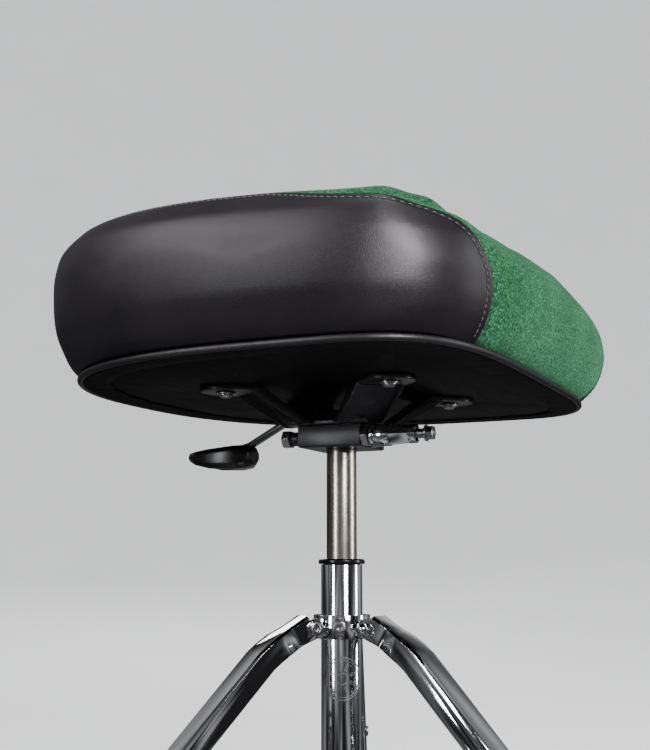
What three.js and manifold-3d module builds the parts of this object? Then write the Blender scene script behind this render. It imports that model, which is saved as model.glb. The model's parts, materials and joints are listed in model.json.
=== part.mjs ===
// Drum throne: saddle seat on a gas column over a folding tripod.
// Millimetres, Z up. Origin on the floor under the column. The rider faces -Y; +X is the rider's left.
import * as THREE from 'three';
import { ConvexGeometry } from 'three/addons/geometries/ConvexGeometry.js';
import Module from 'manifold-3d';

const wasm = await Module();
wasm.setup();

// ---- driving dimensions -------------------------------------------------
const GAP = 0.3;                       // clearance between pieces that touch
// seat outline (at the piping): front half and rear half of a rounded plan
const HALF_W = 253.7, FRONT = 147.9, REAR = 263.8, MID_Y = -43.9;
const FRONT_POWER = 4.43, REAR_POWER = 2.47;
const BOARD_Z = 419, BOARD_T = 12, BOARD_IN = 5;
const SKIRT_Z = 423.7;                 // lower edge of the upholstery
const PIPE_R = 3;
const BAND_T = 2.6;                    // vinyl band over the foam
const HOLE = 80;                       // bracket holes at +-HOLE, a 160 mm square
const TAB_Z = 415.2, SHEET = 3.5;      // bracket tabs, sheet thickness
const PLATE_Z = 387.1, PLATE_HALF = 39;
const HUB = { hx: 30, hy: 31, z0: 366.8, z1: 386.8 };
const BOLT_X = -22, BOLT_Z = 375.7;    // fore-and-aft tension bolt
const COL_R = 14, COL_Z0 = 118, COL_Z1 = 386.8;
const TUBE_R = 19.05, TUBE_WALL = 2, TUBE_Z0 = 8, TUBE_Z1 = 260.1;
const COLLAR = { r: 26, z0: 193.4, z1: 214.4 };
const PIVOT = { r: 33, z: 202.9 };     // leg hinge
const FOOTC = { r: 25.5, z0: 17, z1: 37 };
const PIN = { r: 33, z: 27 };          // brace hinge at the lower collar
const LEVER = { y: 22, z: 400.4 };     // lever pin
const LEG_AZ = [20.7, 140.7, 260.7];   // directions of the three legs
const LUG_HALF = 9.7;
const BRACE_AT = { r: 159.1, z: 90.6 }; // brace hinge on the leg

// ---- geometry helpers ----------------------------------------------------
const rad = (d) => (d * Math.PI) / 180;

function toMan(g) {
  g = g.index ? g.toNonIndexed() : g;
  const p = g.attributes.position, map = new Map(), verts = [], tris = [];
  const ids = [];
  for (let i = 0; i < p.count; i++) {
    const v = [p.getX(i), p.getY(i), p.getZ(i)];
    const k = v.map((c) => Math.round(c * 1e4)).join(',');
    if (!map.has(k)) { map.set(k, verts.length / 3); verts.push(...v); }
    ids.push(map.get(k));
  }
  for (let i = 0; i < ids.length; i += 3) {
    const [a, b, c] = [ids[i], ids[i + 1], ids[i + 2]];
    if (a !== b && b !== c && a !== c) tris.push(a, b, c);
  }
  const mesh = new wasm.Mesh({
    numProp: 3, vertProperties: new Float32Array(verts), triVerts: new Uint32Array(tris),
  });
  mesh.merge();
  return new wasm.Manifold(mesh);
}

function fromMan(m) {
  const q = m.getMesh(), g = new THREE.BufferGeometry();
  const pos = new Float32Array(q.numVert * 3);
  for (let i = 0; i < q.numVert; i++)
    for (let k = 0; k < 3; k++) pos[i * 3 + k] = q.vertProperties[i * q.numProp + k];
  g.setAttribute('position', new THREE.BufferAttribute(pos, 3));
  g.setIndex(new THREE.BufferAttribute(new Uint32Array(q.triVerts), 1));
  return g;
}

const box = (x0, x1, y0, y1, z0, z1) => toMan(new THREE.BoxGeometry(x1 - x0, y1 - y0, z1 - z0)
  .translate((x0 + x1) / 2, (y0 + y1) / 2, (z0 + z1) / 2));
// upright cylinder or cone between two heights, with a corner on the x axis
const cyl = (r, z0, z1, n = 32, r2 = r) =>
  toMan(new THREE.CylinderGeometry(r2, r, z1 - z0, n, 1, false, Math.PI / 2).rotateX(Math.PI / 2)
    .translate(0, 0, (z0 + z1) / 2));
const ball = (r, n) => toMan(new THREE.SphereGeometry(r, n, n / 2).rotateX(Math.PI / 2));
const hexPrism = (af, z0, z1) => cyl(af / Math.sqrt(3), z0, z1, 6);
// smallest convex solid around several solids
function hullOf(list) {
  const pts = [];
  for (const m of list) {
    const q = m.getMesh(), v = q.vertProperties;
    for (let i = 0; i < q.numVert; i++)
      pts.push(new THREE.Vector3(v[i * q.numProp], v[i * q.numProp + 1], v[i * q.numProp + 2]));
  }
  return toMan(new ConvexGeometry(pts));
}
const alongX = (m) => m.rotate([0, 90, 0]);      // z axis -> x axis
const alongY = (m) => m.rotate([90, 0, 0]);      // z axis -> -y axis
const spinZ = (m, deg) => m.rotate([0, 0, deg]);

// solid of revolution about Z from a closed [r, z] profile
function turned(profile, n = 40) {
  const g = new THREE.LatheGeometry(profile.map(([r, z]) => new THREE.Vector2(r, z)), n);
  g.rotateX(Math.PI / 2);
  let m = toMan(g);
  if (m.volume() < 0) m = toMan(flip(g));
  return m;
}
function flip(g) {
  const h = g.index ? g.toNonIndexed() : g.clone(), p = h.attributes.position.array;
  for (let i = 0; i < p.length; i += 9)
    for (let k = 0; k < 3; k++) { const t = p[i + 3 + k]; p[i + 3 + k] = p[i + 6 + k]; p[i + 6 + k] = t; }
  return h;
}
// solid from rings of equal point count; ends capped by fans about their mean
function lofted(rings, closed = false) {
  const v = [], f = [], n = rings[0].length, R = rings.length;
  rings.forEach((r) => r.forEach((p) => v.push(p)));
  const id = (i, j) => (i % R) * n + (j % n);
  const rows = closed ? R : R - 1;
  for (let i = 0; i < rows; i++)
    for (let j = 0; j < n; j++)
      f.push([id(i, j), id(i, j + 1), id(i + 1, j + 1)], [id(i, j), id(i + 1, j + 1), id(i + 1, j)]);
  if (!closed) {
    for (const [i, s] of [[0, -1], [R - 1, 1]]) {
      const pts = rings[i].map((p) => new THREE.Vector3(...p));
      const nor = new THREE.Vector3();
      for (let j = 0; j < n; j++) nor.add(pts[j].clone().cross(pts[(j + 1) % n]));
      nor.normalize();
      const ax = new THREE.Vector3().subVectors(pts[1], pts[0]).normalize();
      const ay = nor.clone().cross(ax);
      const flat = pts.map((p) => new THREE.Vector2(p.dot(ax), p.dot(ay)));
      for (const t of THREE.ShapeUtils.triangulateShape(flat, []))
        f.push(s > 0 ? [id(i, t[0]), id(i, t[1]), id(i, t[2])] : [id(i, t[0]), id(i, t[2]), id(i, t[1])]);
    }
  }
  const g = new THREE.BufferGeometry();
  g.setAttribute('position', new THREE.BufferAttribute(new Float32Array(v.flat()), 3));
  g.setIndex(f.flat());
  let m = toMan(g);
  if (m.volume() < 0) m = toMan(flip(g));
  return m;
}

// ---- plan outline of the seat ---------------------------------------------
const DENSE = 2400, dense = [];
for (let i = 0; i < DENSE; i++) {
  const t = (i / DENSE) * 2 * Math.PI + Math.PI / 2, c = Math.cos(t), s = Math.sin(t);
  const front = s < 0, n = front ? FRONT_POWER : REAR_POWER, len = front ? FRONT : REAR;
  dense.push([HALF_W * Math.sign(c) * Math.abs(c) ** (2 / n),
    MID_Y + len * Math.sign(s) * Math.abs(s) ** (2 / n)]);
}
const acc = [0];
for (let i = 1; i <= DENSE; i++) {
  const a = dense[i - 1], b = dense[i % DENSE];
  acc.push(acc[i - 1] + Math.hypot(b[0] - a[0], b[1] - a[1]));
}
// point and outward normal at a fraction of the way round, from the rear centre; the second half mirrors
function outlineAt(f) {
  if (f > 0.5) { const q = outlineAt(1 - f); return { x: -q.x, y: q.y, nx: -q.nx, ny: q.ny, arc: q.arc }; }
  const s = f * acc[DENSE];
  let k = 0;
  while (k < DENSE - 1 && acc[k + 1] < s) k++;
  const w = (s - acc[k]) / (acc[k + 1] - acc[k]), a = dense[k], b = dense[(k + 1) % DENSE];
  const far = dense[(k + 7) % DENSE], back = dense[(k + DENSE - 6) % DENSE];
  let nx = far[1] - back[1], ny = -(far[0] - back[0]);
  const L = Math.hypot(nx, ny);
  nx /= L; ny /= L;
  if (nx * a[0] + ny * (a[1] - MID_Y) < 0) { nx = -nx; ny = -ny; }
  return { x: a[0] + (b[0] - a[0]) * w, y: a[1] + (b[1] - a[1]) * w, nx, ny, arc: (0.5 - f) * acc[DENSE] };
}

// ---- upholstery surface ----------------------------------------------------
// height of the crest round the edge, by distance forward of the column
const CREST = [[-235, 562.5], [-150, 553], [-50, 548.5], [50, 544], [120, 539.5], [170, 542], [215, 541]];
// how much lower the crest is along the front, by distance from the middle
const DIP = [[0, 0], [60, 4.5], [110, 7.5], [160, 14.5], [205, 0], [260, 3.5]];
// swell of the cheek over the outline, by share of its height: round the sides and rear, and at the front
const SIDE = [[0, 0], [0.04, 6], [0.07, 9.5], [0.16, 16], [0.3, 23], [0.45, 25.5], [0.6, 26], [0.75, 23],
  [0.82, 18], [0.87, 12.5], [0.92, 4.5], [0.95, -3], [0.98, -15], [1, -30]];
const NOSE = [[0, 0], [0.04, 6], [0.07, 9.5], [0.16, 18], [0.3, 24.5], [0.45, 27.5], [0.6, 25.5], [0.75, 15.5],
  [0.82, 5], [0.87, -5], [0.92, -12], [0.95, -17], [0.98, -28], [1, -41.5]];
// hem of the vinyl band: share of the cheek's height, by distance round from the front centre
const HEM = [[171, 0.01], [178.5, 0.105], [182.5, 0.22], [186.5, 0.36], [193, 0.5], [202, 0.65], [212, 0.755],
  [234, 0.84], [253, 0.865], [300, 0.92], [350, 0.955]];
const DISH = 11, RISE = 125;
function lerp(table, x) {
  if (x <= table[0][0]) return table[0][1];
  for (let i = 1; i < table.length; i++)
    if (x <= table[i][0]) {
      const [a, b] = [table[i - 1], table[i]];
      return a[1] + ((b[1] - a[1]) * (x - a[0])) / (b[0] - a[0]);
    }
  return table[table.length - 1][1];
}
const ease = (x) => { const t = Math.min(1, Math.max(0, x)); return t * t * (3 - 2 * t); };
const noseShare = (p) => ease((-p.ny - 0.35) / 0.5);
const crestAt = (p) => lerp(CREST, -p.y) - lerp(DIP, Math.abs(p.x)) * noseShare(p);
// share of the girth up the cheek, measured on the side profile, to share of its height and back
const girth = [0];
for (let i = 1; i < SIDE.length; i++)
  girth.push(girth[i - 1] + Math.hypot((SIDE[i][0] - SIDE[i - 1][0]) * RISE, SIDE[i][1] - SIDE[i - 1][1]));
const GIRTH = girth[girth.length - 1];
const riseOf = (s) => lerp(girth.map((g, i) => [g / GIRTH, SIDE[i][0]]), s);
const shareOf = (h) => lerp(girth.map((g, i) => [SIDE[i][0], g / GIRTH]), h);
// point on the cheek: s runs 0 (skirt) to 1 (crest); inset pulls it in along the surface normal
function cheek(p, s, inset) {
  const w = noseShare(p), out = (h) => lerp(SIDE, h) * (1 - w) + lerp(NOSE, h) * w;
  const h = s < 0 ? (s * GIRTH) / RISE : riseOf(s), e = 0.006;
  const d = s < 0 ? 0 : out(h), lo = Math.max(0, h - e), hi = Math.min(1, h + e);
  let nd = (hi - lo) * RISE, nh = -(out(hi) - out(lo));
  if (s < 0) { nd = 1; nh = 0; }
  const L = Math.hypot(nd, nh);
  nd /= L; nh /= L;
  const z = SKIRT_Z + h * (crestAt(p) - SKIRT_Z), dd = d - inset * nd;
  return [p.x + p.nx * dd, p.y + p.ny * dd, z - inset * nh];
}
const seamAt = (p) => (p.arc < HEM[0][0] ? 0.008 : shareOf(lerp(HEM, p.arc)));
// columns round the seat, closer together where the band rounds off
const fractions = [];
for (let i = 0; i < 56; i++) {
  fractions.push(i / 56);
  const p = outlineAt((i + 0.5) / 56), q = outlineAt((i + 0.25) / 56), r = outlineAt((i + 0.75) / 56);
  const inside = (e) => e.arc > 160 && e.arc < 240;
  if (inside(q)) fractions.push((i + 0.25) / 56);
  if (inside(p)) fractions.push((i + 0.5) / 56);
  if (inside(r)) fractions.push((i + 0.75) / 56);
}
const ring = fractions.map(outlineAt), NP = ring.length;
const offsetRing = (d, z) => ring.map((p) => [p.x + p.nx * d, p.y + p.ny * d, z]);

function cushion() {
  const cols = ring.map((p) => {
    const pts = [], K = 13, inner = BOARD_IN - GAP;
    pts.push([p.x - p.nx * inner, p.y - p.ny * inner, BOARD_Z + BOARD_T + GAP]);
    pts.push([p.x - p.nx * inner, p.y - p.ny * inner, SKIRT_Z]);
    for (let k = 0; k <= K; k++) pts.push(cheek(p, k / K, 0));
    const edge = pts[pts.length - 1];
    for (const w of [0.14, 0.36, 0.6, 0.82]) {
      const x = edge[0] * (1 - w), y = (edge[1] - MID_Y) * (1 - w) + MID_Y;
      const dip = lerp(DIP, Math.abs(p.x)) * noseShare(p) * (1 - w) ** 3;
      const r = Math.hypot(x / 215, (y - 20) / 190);
      pts.push([x, y, lerp(CREST, -y) - DISH * Math.max(0, 1 - r ** 2) - dip]);
    }
    return pts;
  });
  const v = cols.flat(), R = cols[0].length, f = [];
  const mid = lerp(CREST, -MID_Y) - DISH;
  v.push([0, MID_Y, BOARD_Z + BOARD_T + GAP], [0, MID_Y, mid]);
  const lo = v.length - 2, hi = v.length - 1;
  for (let i = 0; i < NP; i++) {
    const a = i * R, b = ((i + 1) % NP) * R;
    for (let k = 0; k < R - 1; k++) f.push([a + k, b + k, b + k + 1], [a + k, b + k + 1, a + k + 1]);
    f.push([lo, b, a], [hi, a + R - 1, b + R - 1]);
  }
  const parts = closedFrom(v, f).subtract(band(-2, BAND_T + 0.5, true)).decompose();
  return parts.sort((a, b) => b.volume() - a.volume())[0];
}
function closedFrom(v, f) {
  const g = new THREE.BufferGeometry();
  g.setAttribute('position', new THREE.BufferAttribute(new Float32Array(v.flat()), 3));
  g.setIndex(f.flat());
  let m = toMan(g);
  if (m.volume() < 0) m = toMan(flip(g));
  return m;
}
// shell over the cheek between two insets; the pocket for it runs on past every edge
function band(out0, in0, pocket) {
  const order = [];
  for (let i = 0; i < NP; i++) order.push(ring[(i + NP / 2) % NP]);      // from the front centre
  const first = order.findIndex((p) => seamAt(p) > 0.03), last = NP - first, more = pocket ? 1 : 0;
  const K = 7, rings = [];
  for (let i = first - more; i <= last + more; i++) {
    const p = order[i], S = Math.max(seamAt(p), 0.03), rows = [];
    for (let k = 0; k <= K; k++) rows.push(0.012 + ((S - 0.012) * k) / K);
    if (pocket) { rows.unshift(-0.04); rows.push(S + 0.012); }
    rings.push([...rows.map((s) => cheek(p, s, out0)), ...rows.map((s) => cheek(p, s, in0)).reverse()]);
  }
  return lofted(rings);
}

// tube of radius r along a closed ring of points
function loopTube(pts, r, seg) {
  const n = pts.length, rings = [];
  for (let i = 0; i < n; i++) {
    const a = pts[(i + n - 1) % n], b = pts[(i + 1) % n], c = pts[i];
    const t = new THREE.Vector3(b[0] - a[0], b[1] - a[1], b[2] - a[2]).normalize();
    const up = new THREE.Vector3(0, 0, 1), s = t.clone().cross(up).normalize();
    const q = [];
    for (let k = 0; k < seg; k++) {
      const w = (k / seg) * 2 * Math.PI;
      q.push([c[0] + r * Math.cos(w) * s.x, c[1] + r * Math.cos(w) * s.y, c[2] + r * Math.sin(w)]);
    }
    rings.push(q);
  }
  return lofted(rings, true);
}

// ---- tripod pieces, modelled in the (X outward, Z up) plane, then spun ------
// pressed channel along stations [r, z, half width, height]
function channel(stations, wall) {
  const rings = stations.map(([r, z, w, h], i) => {
    const a = stations[Math.max(0, i - 1)], b = stations[Math.min(stations.length - 1, i + 1)];
    const L = Math.hypot(b[0] - a[0], b[1] - a[1]), dx = (b[0] - a[0]) / L, dz = (b[1] - a[1]) / L;
    const nx = dz, nz = -dx;                         // towards the open side
    const sec = [[-w, h], [-w, 2.2], [-w + 2.2, 0], [w - 2.2, 0], [w, 2.2], [w, h],
      [w - wall, h], [w - wall, wall + 0.8], [w - wall - 0.8, wall], [-w + wall + 0.8, wall],
      [-w + wall, wall + 0.8], [-w + wall, h]];
    return sec.map(([t, n]) => [r + nx * n, t, z + nz * n]);
  });
  return lofted(rings);
}
const plateXZ = (pts, y0, y1) =>                     // polygon in XZ between two Y planes
  lofted([y0, y1].map((y) => pts.map(([x, z]) => [x, y, z])));
function slotShape(a, b, r, n = 7) {                // stadium outline from a to b in XZ
  const t = Math.atan2(b[1] - a[1], b[0] - a[0]), pts = [];
  for (const [c, s] of [[b, -Math.PI / 2], [a, Math.PI / 2]])
    for (let k = 0; k <= n; k++) {
      const w = t + s + (Math.PI * k) / n;
      pts.push([c[0] + r * Math.cos(w), c[1] + r * Math.sin(w)]);
    }
  return pts;
}
const pinY = (r, y0, y1, x, z, n = 16) => alongY(cyl(r, -y1, -y0, n)).translate([x, 0, z]);

const KNEE = [88, 183], SLOPE = rad(47.6);
const along = (d) => [KNEE[0] + d * Math.cos(SLOPE), KNEE[1] - d * Math.sin(SLOPE)];
const LEG_LEN = 226, FOOT_R = 13.5, SOLE_IN = 4.9;
function leg() {
  const st = [[40.5, 214.2, 12, 20], [55, 205.4, 12, 20], [60, 202.5, 12.6, 20], [66, 199, 15, 20],
    [70, 196.7, 16, 20], [80, 189.6, 16, 20], [...KNEE, 16, 20], [...along(9), 16, 20],
    [...along(30), 16, 20], [...along(LEG_LEN), 16, 20]];
  let m = channel(st, 2);
  for (const s of [-1, 1]) {
    const y = [s * 10, s * 12].sort((a, b) => a - b);
    m = m.add(plateXZ(slotShape([PIVOT.r, PIVOT.z], [50, 195.9], 9), ...y));
  }
  m = m.subtract(pinY(3 + GAP, -20, 20, PIVOT.r, PIVOT.z));
  return m.subtract(pinY(3 + GAP, -20, 20, BRACE_AT.r, BRACE_AT.z));
}
function foot() {
  const e = along(LEG_LEN), f = [Math.cos(SLOPE), -Math.sin(SLOPE)], n = [-Math.sin(SLOPE), -Math.cos(SLOPE)];
  const at = (d, k) => [e[0] + f[0] * d + n[0] * k, e[1] + f[1] * d + n[1] * k];
  const pts = [at(-36, -3.2), at(-2, -3.6), at(5, 0), at(7, 8), at(3, 24.5), at(-8, 25.4), at(-36, 23.4)];
  const side = hullOf([plateXZ(pts, -17.5, 17.5), plateXZ(pts.map(([x, z]) => [
    x + (e[0] - 8 - x) * 0.05, z + (e[1] - 2 - z) * 0.05]), -19.4, 19.4)]);
  const cx = e[0] - SOLE_IN, sole = cyl(FOOT_R, 0, 5, 28).translate([cx, 0, 0]);
  let m = hullOf([side.intersect(box(0, 400, -30, 30, 0, 60)), sole]).intersect(box(0, 400, -30, 30, 0, 60));
  const k = 2 + GAP, room = plateXZ([at(-60, -GAP), at(GAP, -GAP), at(GAP, 20 + GAP), at(-60, 20 + GAP)],
    -16 - GAP, 16 + GAP);
  const tongue = plateXZ([at(-30, k + 0.6), at(GAP + 1, k + 0.6), at(GAP + 1, 19), at(-30, 19)], -13, 13);
  return m.subtract(room).add(tongue.intersect(m));
}
function brace() {
  const a = [PIN.r, PIN.z], b = [BRACE_AT.r, BRACE_AT.z], L = Math.hypot(b[0] - a[0], b[1] - a[1]);
  const u = [(b[0] - a[0]) / L, (b[1] - a[1]) / L], n = [-u[1], u[0]];
  const at = (d, k) => [a[0] + u[0] * d + n[0] * k, a[1] + u[1] * d + n[1] * k];
  let m = channel([[...at(15, 7), 11.6, 14], [...at(L - 17, 7), 11.6, 14]], 1.6);
  for (const s of [-1, 1]) {
    const y = [s * 10, s * 11.6].sort((p, q) => p - q);
    m = m.add(plateXZ(slotShape(a, at(20, 0), 7), ...y)).add(plateXZ(slotShape(at(L - 22, 0), b, 7), ...y));
  }
  return m.subtract(pinY(3 + GAP, -20, 20, ...a)).subtract(pinY(4.3, -20, 20, ...b));
}
function collar({ r, z0, z1 }, pivot, rEnd) {
  let m = cyl(r, z0, z1, 40);
  for (const az of LEG_AZ) {
    const lug = plateXZ(slotShape([12, pivot.z], [pivot.r, pivot.z], rEnd), -LUG_HALF, LUG_HALF)
      .subtract(pinY(3 + GAP, -20, 20, pivot.r, pivot.z));
    m = m.add(spinZ(lug, az));
  }
  return m.subtract(cyl(TUBE_R + GAP, z0 - 5, z1 + 5, 40));
}
// socket-head pivot bolt: head on the anticlockwise side of the leg, shank to the cap nut
function pivotBolt() {
  const shank = pinY(3, -17, 13, PIVOT.r, PIVOT.z), head = pinY(6, 12.3, 17.3, PIVOT.r, PIVOT.z, 24);
  const socket = alongY(hexPrism(5, -20, -14.3)).translate([PIVOT.r, 0, PIVOT.z]);
  return shank.add(head).subtract(socket);
}
function capNut() {
  const hex = hexPrism(10, 12.3, 17), dome = ball(4.7, 16).translate([0, 0, 17]);
  const m = hex.add(dome.intersect(cyl(6, 16.5, 30))).subtract(cyl(3 + GAP, 0, 17 + GAP, 20));
  return alongY(m).translate([PIVOT.r, 0, PIVOT.z]);
}
// rivet with two button heads across half width w
function rivet(w, at) {
  return pinY(3, -w - 1, w + 1, at.r, at.z)
    .add(pinY(5.2, w + GAP, w + 2.3, at.r, at.z)).add(pinY(5.2, -w - 2.3, -w - GAP, at.r, at.z));
}

// ---- bracket, hub and lever ---------------------------------------------------
function spider() {
  let m = box(-PLATE_HALF, PLATE_HALF, -PLATE_HALF, PLATE_HALF, PLATE_Z, PLATE_Z + SHEET);
  const r0 = 40, r1 = 45.5, r2 = 85.5, t = SHEET;
  const arm = [[r0, PLATE_Z], [r1, PLATE_Z], [r2, TAB_Z], [126, TAB_Z], [126, TAB_Z + t], [r2 - 1.2, TAB_Z + t],
    [r1 - 1.2, PLATE_Z + t], [r0, PLATE_Z + t]];
  const rib = [[r0, PLATE_Z + 1], [r1 - 1, PLATE_Z + 1], [r2, TAB_Z + 1], [97, TAB_Z + 1], [86, TAB_Z - 7],
    [r1 + 2, PLATE_Z - 6 + 6], [r0, PLATE_Z]];
  for (const az of [45, 135, 225, 315]) {
    const tip = cyl(23, TAB_Z - 1, TAB_Z + 6, 28).translate([HOLE * Math.SQRT2, 0, 0]);
    let a = plateXZ(arm, -23, 23);
    a = a.subtract(box(HOLE * Math.SQRT2, 140, -30, 30, TAB_Z - 2, TAB_Z + 8))
      .add(tip.intersect(box(110, 140, -30, 30, TAB_Z, TAB_Z + t)));
    for (const s of [-1, 1]) a = a.add(plateXZ(rib, ...[s * 20, s * 23].sort((p, q) => p - q)));
    a = a.subtract(cyl(3.6, TAB_Z - 5, TAB_Z + 9, 20).translate([HOLE * Math.SQRT2, 0, 0]));
    m = m.add(spinZ(a, az));
  }
  for (const s of [-1, 1]) {                          // ears that carry the lever pin
    const ear = hullOf([box(0, 3, 15, 29, PLATE_Z + 1, PLATE_Z + SHEET + 1),
      alongX(cyl(5, 0, 3, 20)).translate([0, LEVER.y, LEVER.z])]);
    m = m.add(ear.translate([s > 0 ? 5.4 : -8.4, 0, 0]));
  }
  m = m.subtract(alongX(cyl(2.3, -12, 12, 16)).translate([0, LEVER.y, LEVER.z]));
  return m.subtract(cyl(6.5, PLATE_Z - 2, PLATE_Z + 8, 28));
}
function hub() {
  const { hx, hy, z0, z1 } = HUB;
  const m = hullOf([box(-hx, hx, -hy, hy, z0 + 1.2, z1),
    box(-hx + 1.2, hx - 1.2, -hy + 1.2, hy - 1.2, z0, z1)]);
  return m.subtract(cyl(COL_R + GAP, z0 - 2, z1 + 2, 48))
    .subtract(alongY(cyl(4 + GAP, -50, 50, 20)).translate([BOLT_X, 0, BOLT_Z]));
}
const washer = (r, hole, z0, z1, n = 28) => cyl(r, z0, z1, n).subtract(cyl(hole, z0 - 1, z1 + 1, 20));

function leverArm() {
  const w = 4.6;                                        // lies along +Y; profile in the YZ plane
  const mid = [[-7, 400.4], [38, 401.9], [52, 397.9], [97, 374], [112, 369.9]];
  const up = mid.map(([y, z]) => [y, z + 2.6]), dn = mid.map(([y, z]) => [y, z - 2.6]).reverse();
  const pts = [...up, ...dn];
  let m = lofted([-w, w].map((x) => pts.map(([y, z]) => [x, y, z])));
  m = m.add(alongX(cyl(5, -w, w, 20)).translate([0, LEVER.y, LEVER.z]));
  return m.subtract(alongX(cyl(2.3, -12, 12, 16)).translate([0, LEVER.y, LEVER.z]));
}
function leverPaddle() {
  const sec = (y, w, z0, z1) => {
    const c = Math.min(5, (z1 - z0) * 0.35);
    return [[-w, z0 + c], [-w + c, z0], [w - c, z0], [w, z0 + c], [w, z1 - c], [w - c, z1], [-w + c, z1],
      [-w, z1 - c]].map(([x, z]) => [x, y, z]);
  };
  let m = lofted([sec(92, 9, 356.4, 371.4), sec(97, 13, 352.9, 374.4), sec(110, 17, 351.4, 373.8),
    sec(135, 19, 352.4, 371.4), sec(152, 16, 356.4, 369.4), sec(161, 9, 360.4, 368.4)]);
  m = m.subtract(ball(30, 32).scale([0.42, 0.72, 0.42]).translate([0, 133, 343.9]));
  const room = [[80, 386.8], [97, 377.8], [112.4, 373.8], [112.4, 366.1], [97, 370.2], [80, 379.3]];
  const g = 4.6 + GAP;
  return m.subtract(lofted([-g, g].map((x) => room.map(([y, z]) => [x, y, z]))));
}

// ---- assembly -------------------------------------------------------------------
const group = new THREE.Group();
group.name = 'drum_throne';
const paint = {
  chrome: { color: 0xd5d8dc, roughness: 0.08, metalness: 1 },
  nickel: { color: 0xb9b2a8, roughness: 0.32, metalness: 1 },
  steel: { color: 0x9c9ea1, roughness: 0.35, metalness: 1 },
  black: { color: 0x17171a, roughness: 0.38, metalness: 0.4 },
  plastic: { color: 0x121214, roughness: 0.5, metalness: 0 },
  rubber: { color: 0x1b1b1b, roughness: 0.85, metalness: 0 },
  vinyl: { color: 0x141316, roughness: 0.42, metalness: 0 },
  velour: { color: 0x2f7a4c, roughness: 0.95, metalness: 0 },
  wood: { color: 0x1e1c1b, roughness: 0.8, metalness: 0 },
};
function piece(name, man, kind, parent = group) {
  const g = fromMan(man);
  const flat = g.toNonIndexed();
  flat.computeVertexNormals();
  const mesh = new THREE.Mesh(flat, new THREE.MeshStandardMaterial(paint[kind]));
  mesh.name = name;
  parent.add(mesh);
}
function place(x, y, z, turnX = 0, turnZ = 0) {
  const g = new THREE.Group();
  g.position.set(x, y, z);
  g.rotation.set(turnX, 0, turnZ);
  group.add(g);
  return g;
}

// seat
piece('seat_cushion', cushion(), 'velour');
piece('side_band', band(0, BAND_T, false), 'vinyl');
piece('seat_piping', loopTube(offsetRing(0.8, SKIRT_Z - GAP - PIPE_R), PIPE_R, 7), 'vinyl');
{
  let board = lofted([BOARD_Z, BOARD_Z + BOARD_T].map((z) => offsetRing(-BOARD_IN, z)));
  for (const x of [-HOLE, HOLE]) for (const y of [-HOLE, HOLE])
    board = board.subtract(cyl(4.7, BOARD_Z - 2, BOARD_Z + BOARD_T + 2, 20).translate([x, y, 0]))
      .subtract(cyl(9.5, BOARD_Z + BOARD_T - 1.9, BOARD_Z + BOARD_T + 2, 24).translate([x, y, 0]));
  piece('seat_board', board, 'wood');
}
const corners = [['front_right', -1, -1], ['front_left', 1, -1], ['rear_left', 1, 1], ['rear_right', -1, 1]];
for (const [tag, sx, sy] of corners) {
  const corner = place(sx * HOLE, sy * HOLE, 0);
  const zt = BOARD_Z + BOARD_T;
  const nut = cyl(9.2, zt - 1.6, zt, 20).add(cyl(4.4, zt - 9.5, zt - 1, 14)).subtract(cyl(3.3, 400, 450, 14));
  piece(`tee_nut_${tag}`, nut, 'steel', corner);
  const head = hullOf([cyl(6.4, TAB_Z - 3.2, TAB_Z - 1.7, 18), cyl(4.4, TAB_Z - 5, TAB_Z - 3.2, 18)])
    .add(cyl(8.6, TAB_Z - 1.9, TAB_Z - GAP, 22)).add(cyl(3, TAB_Z - 2, zt - 1, 12));
  const cross = box(-2.6, 2.6, -0.6, 0.6, TAB_Z - 6, TAB_Z - 3.4)
    .add(box(-0.6, 0.6, -2.6, 2.6, TAB_Z - 6, TAB_Z - 3.4));
  piece(`bracket_screw_${tag}`, head.subtract(cross), 'steel', corner);
}
piece('spider_bracket', spider(), 'black');
piece('hub_block', hub(), 'black');
const bolt = place(BOLT_X, 0, BOLT_Z, Math.PI / 2);      // its z runs forward (-Y)
piece('tension_bolt', cyl(4, -45, 91.5, 20).add(hexPrism(15, -48.5, -41)), 'steel', bolt);
piece('tension_spacer', washer(6.5, 4 + GAP, -40.7, -31.3), 'black', bolt);
piece('tension_lock_nut', hexPrism(17, 31.3, 38.5).subtract(cyl(4 + GAP, 30, 40, 20)), 'steel', bolt);
piece('adjuster_ring', washer(10.9, 4 + GAP, 40.5, 44.2, 36), 'chrome', bolt);
{
  const body = cyl(10.2, 44.5, 58.2, 36).add(cyl(10.2, 58, 77, 6, 8.8)).add(cyl(8.6, 77, 83.5, 28));
  piece('adjuster_sleeve', body.subtract(cyl(4 + GAP, 40, 90, 20)), 'chrome', bolt);
}
piece('adjuster_end_nut', cyl(6.6, 92, 99.5, 6).add(cyl(7.4, 91.8, 93.6, 24)).add(cyl(3.2, 98, 100.5, 20)),
  'steel', bolt);
piece('lever_pin', alongX(cyl(2, -9.4, 9.4, 16)).add(alongX(cyl(3.8, 8.7, 10.4, 18))), 'steel',
  place(0, LEVER.y, LEVER.z));
piece('lever_arm', leverArm(), 'black');
piece('lever_paddle', leverPaddle(), 'plastic');

// gas column
piece('gas_cylinder', cyl(COL_R, COL_Z0, COL_Z1 - 1.2, 48)
  .add(cyl(COL_R, COL_Z1 - 1.2, COL_Z1, 48, COL_R - 1.2))
  .subtract(cyl(12, COL_Z0 - 1, 366.4, 40)).subtract(cyl(4 + GAP, 360, 400, 24)), 'nickel');
piece('rod_gland', washer(11.7, 5 + GAP, COL_Z0, COL_Z0 + 12, 36), 'steel');
piece('release_button', cyl(4, 369.4, 392.8, 24).add(cyl(5.2, 392.4, 397.5, 24)), 'steel');
piece('piston_rod', cyl(5, 10, 232, 24).add(cyl(11.6, 216, 230, 36)), 'steel');

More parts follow.
